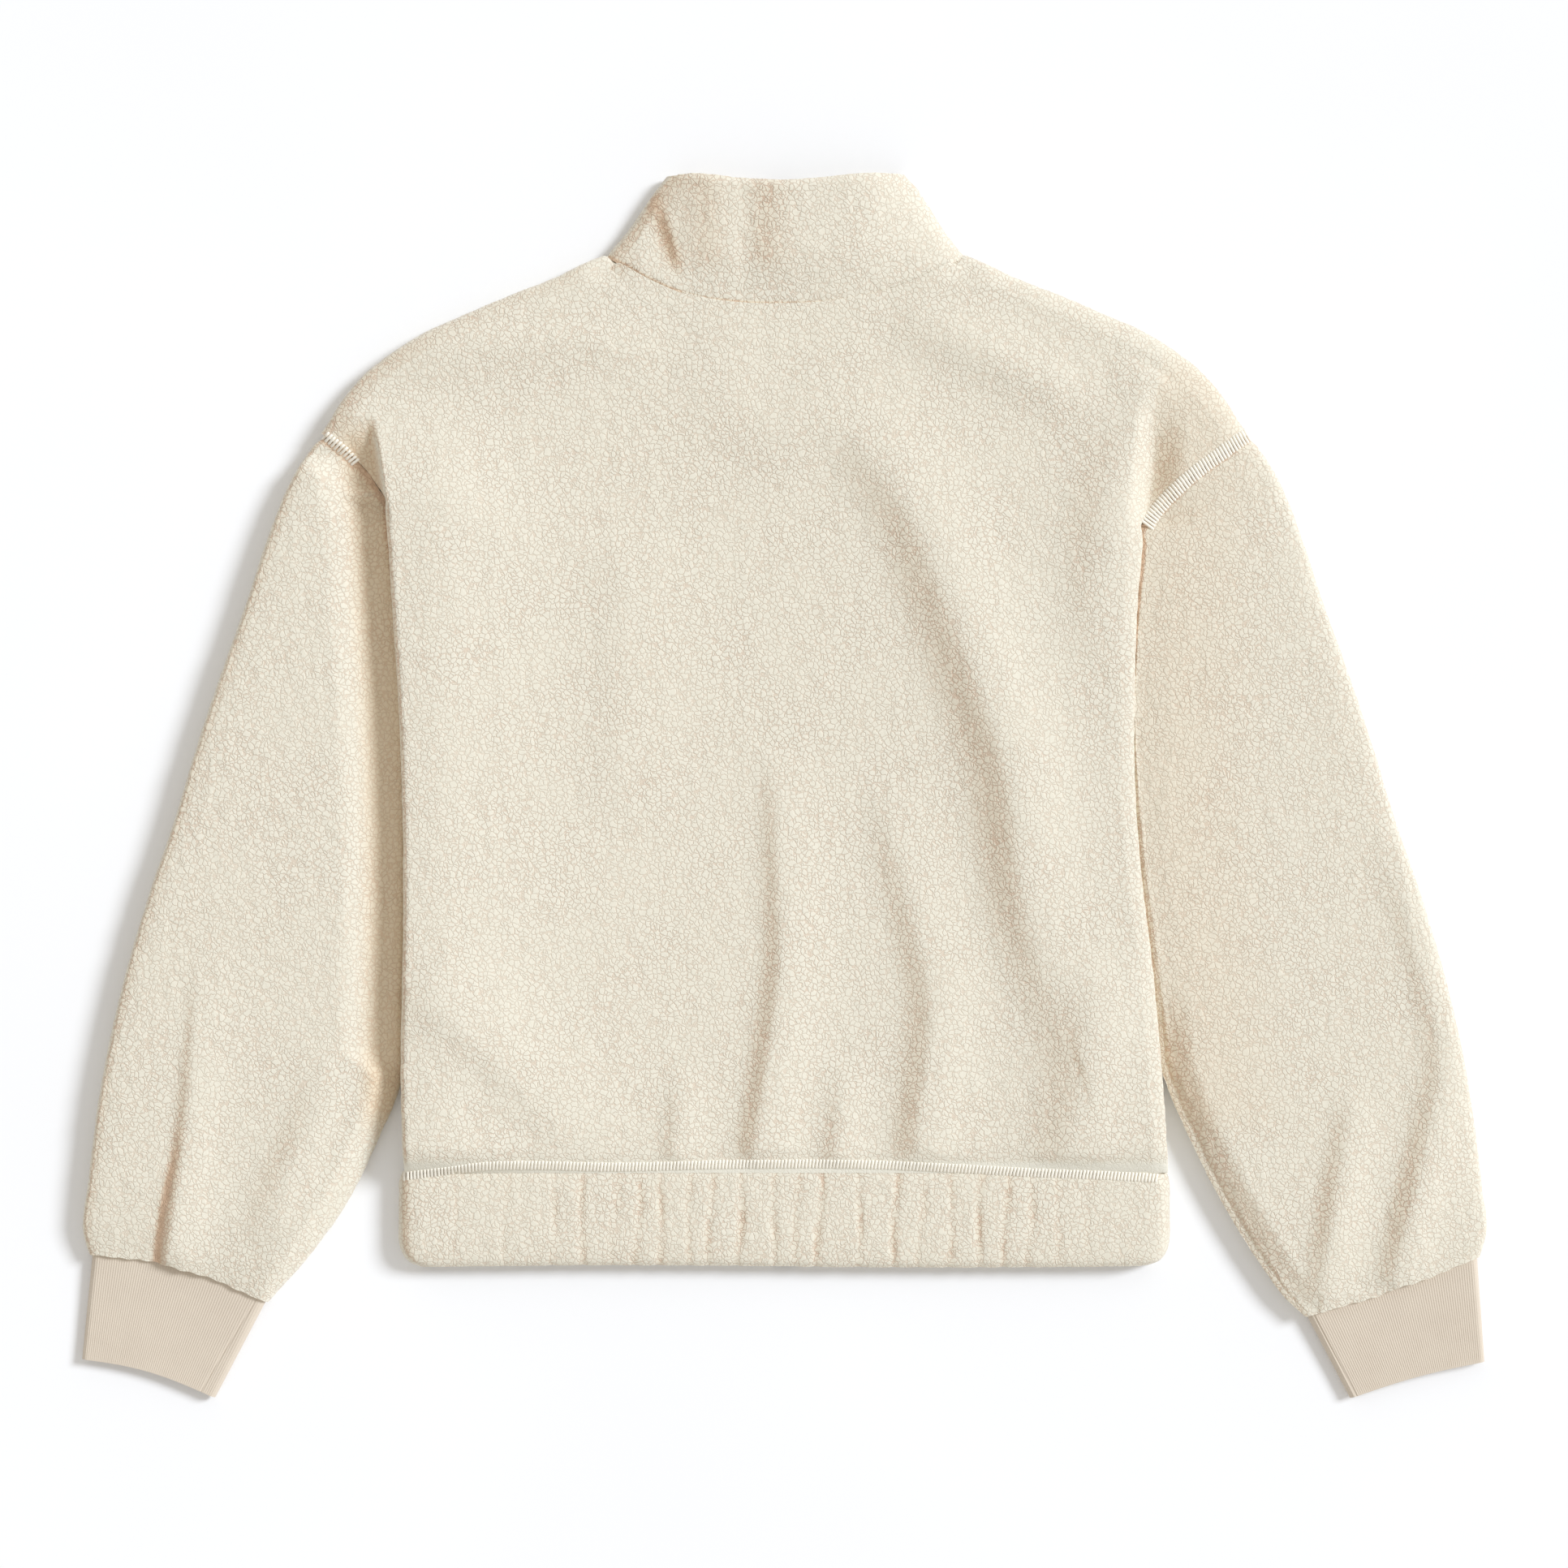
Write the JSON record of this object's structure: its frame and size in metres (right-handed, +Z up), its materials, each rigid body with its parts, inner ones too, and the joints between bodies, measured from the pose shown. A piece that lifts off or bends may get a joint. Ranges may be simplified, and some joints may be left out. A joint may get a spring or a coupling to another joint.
{
  "type": "fleece jacket",
  "caption": "Cream sherpa fleece jacket with a stand collar, dropped sleeves, rib cuffs and gathered hem band, laid flat with its back up and its front zip closed.",
  "frame": {"origin": "centre of the bounding box on the surface that the jacket lies on", "axes": "+Z up out of the surface, +Y along the jacket from hem to collar, +X across it towards the picture's right"},
  "size_m": [0.8159, 0.7105, 0.0323],
  "materials": {
    "fleece": "matte curly pile",
    "rib_knit": "matte fine rib",
    "zip_tape": "matte woven tape",
    "zip_metal": "satin"
  },
  "bodies": {
    "jacket": {"back_panel": "fleece", "front_left": "fleece", "front_right": "fleece", "sleeve_left": "fleece", "sleeve_right": "fleece", "collar": "fleece", "hem_band": "fleece", "cuff_left": "rib_knit", "cuff_right": "rib_knit", "zip_chain": "zip_tape", "zip_slider": "zip_metal"},
    "pull": {"zip_pull": "zip_metal"}
  },
  "joints": [
    {"name": "pull_hinge", "type": "hinge", "parent": "jacket", "child": "pull", "pos_m": [0.00055, 0.3325, 0.00165], "axis": [1, 0, 0], "range_deg": [0, 170]}
  ]
}
